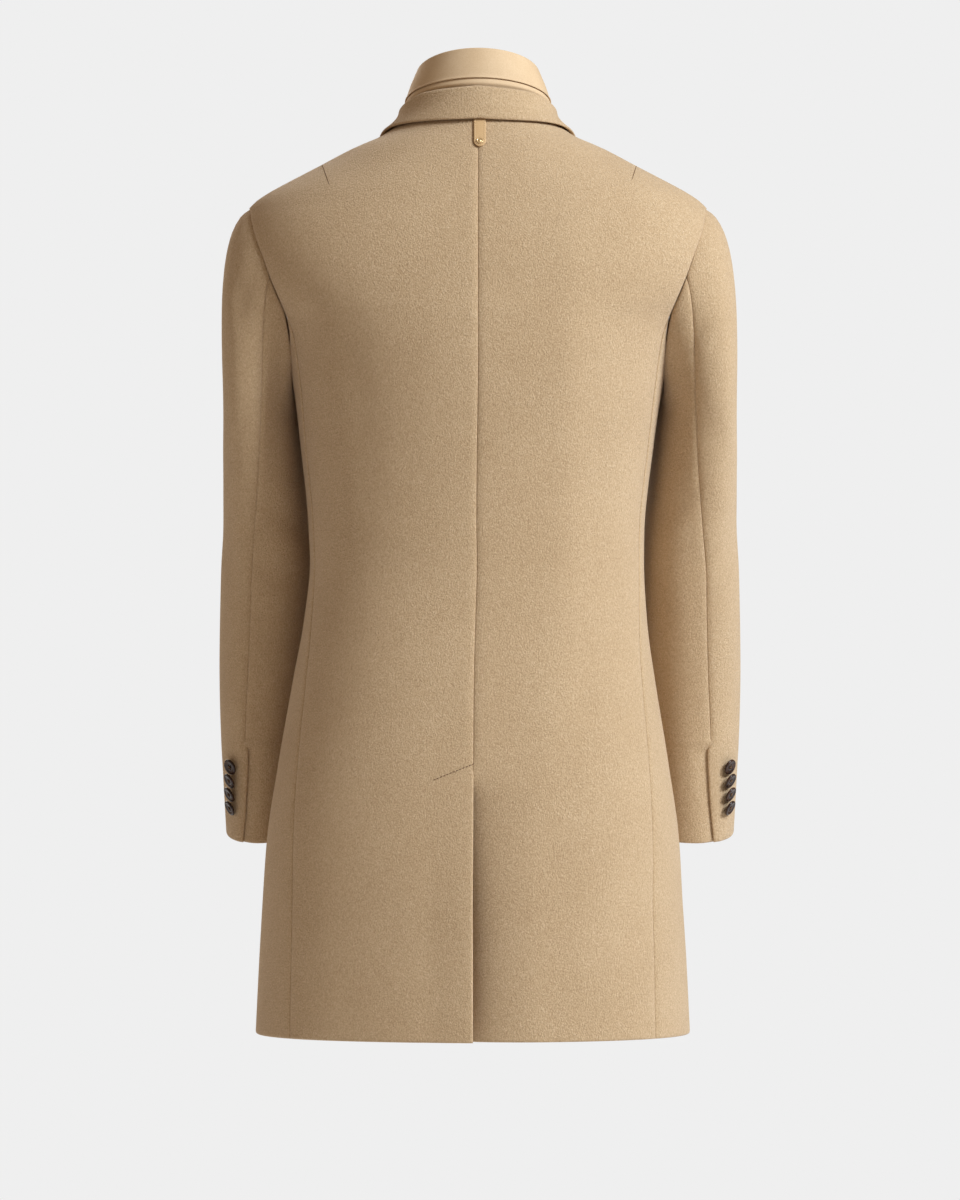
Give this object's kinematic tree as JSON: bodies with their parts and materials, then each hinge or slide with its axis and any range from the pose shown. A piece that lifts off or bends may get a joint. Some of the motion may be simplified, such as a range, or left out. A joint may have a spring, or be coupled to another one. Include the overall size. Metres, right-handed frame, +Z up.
{
  "type": "overcoat",
  "caption": "Hollow worn wool overcoat with turned-down collar, notched lapels, inner bib collar, centre back vent and buttoned cuff vents.",
  "frame": {"origin": "centre of the neck opening, at the height of the neck seam at the centre back", "axes": "+Z up towards the collar, -Y the way the wearer faces, +X the wearer's left"},
  "size_m": [0.5284, 0.3087, 0.9802],
  "materials": {
    "wool": "matte",
    "bib_cloth": "matte",
    "tan_leather": "satin",
    "stud_metal": "satin",
    "horn": "gloss"
  },
  "bodies": {
    "root": {"back_left": "wool", "back_right": "wool", "side_left": "wool", "side_right": "wool", "front_left": "wool", "front_right": "wool", "lapel_left": "wool", "lapel_right": "wool", "sleeve_upper_left": "wool", "sleeve_upper_right": "wool", "sleeve_under_left": "wool", "sleeve_under_right": "wool", "collar": "wool", "bib_collar": "bib_cloth", "bib_stand": "bib_cloth", "bib_left": "bib_cloth", "bib_right": "bib_cloth", "tab": "tan_leather", "tab_stud": "stud_metal", "cuff_button_left_1": "horn", "cuff_button_left_2": "horn", "cuff_button_left_3": "horn", "cuff_button_left_4": "horn", "cuff_button_right_1": "horn", "cuff_button_right_2": "horn", "cuff_button_right_3": "horn", "cuff_button_right_4": "horn", "front_button_1": "horn", "front_button_2": "horn", "front_button_3": "horn"}
  },
  "joints": []
}
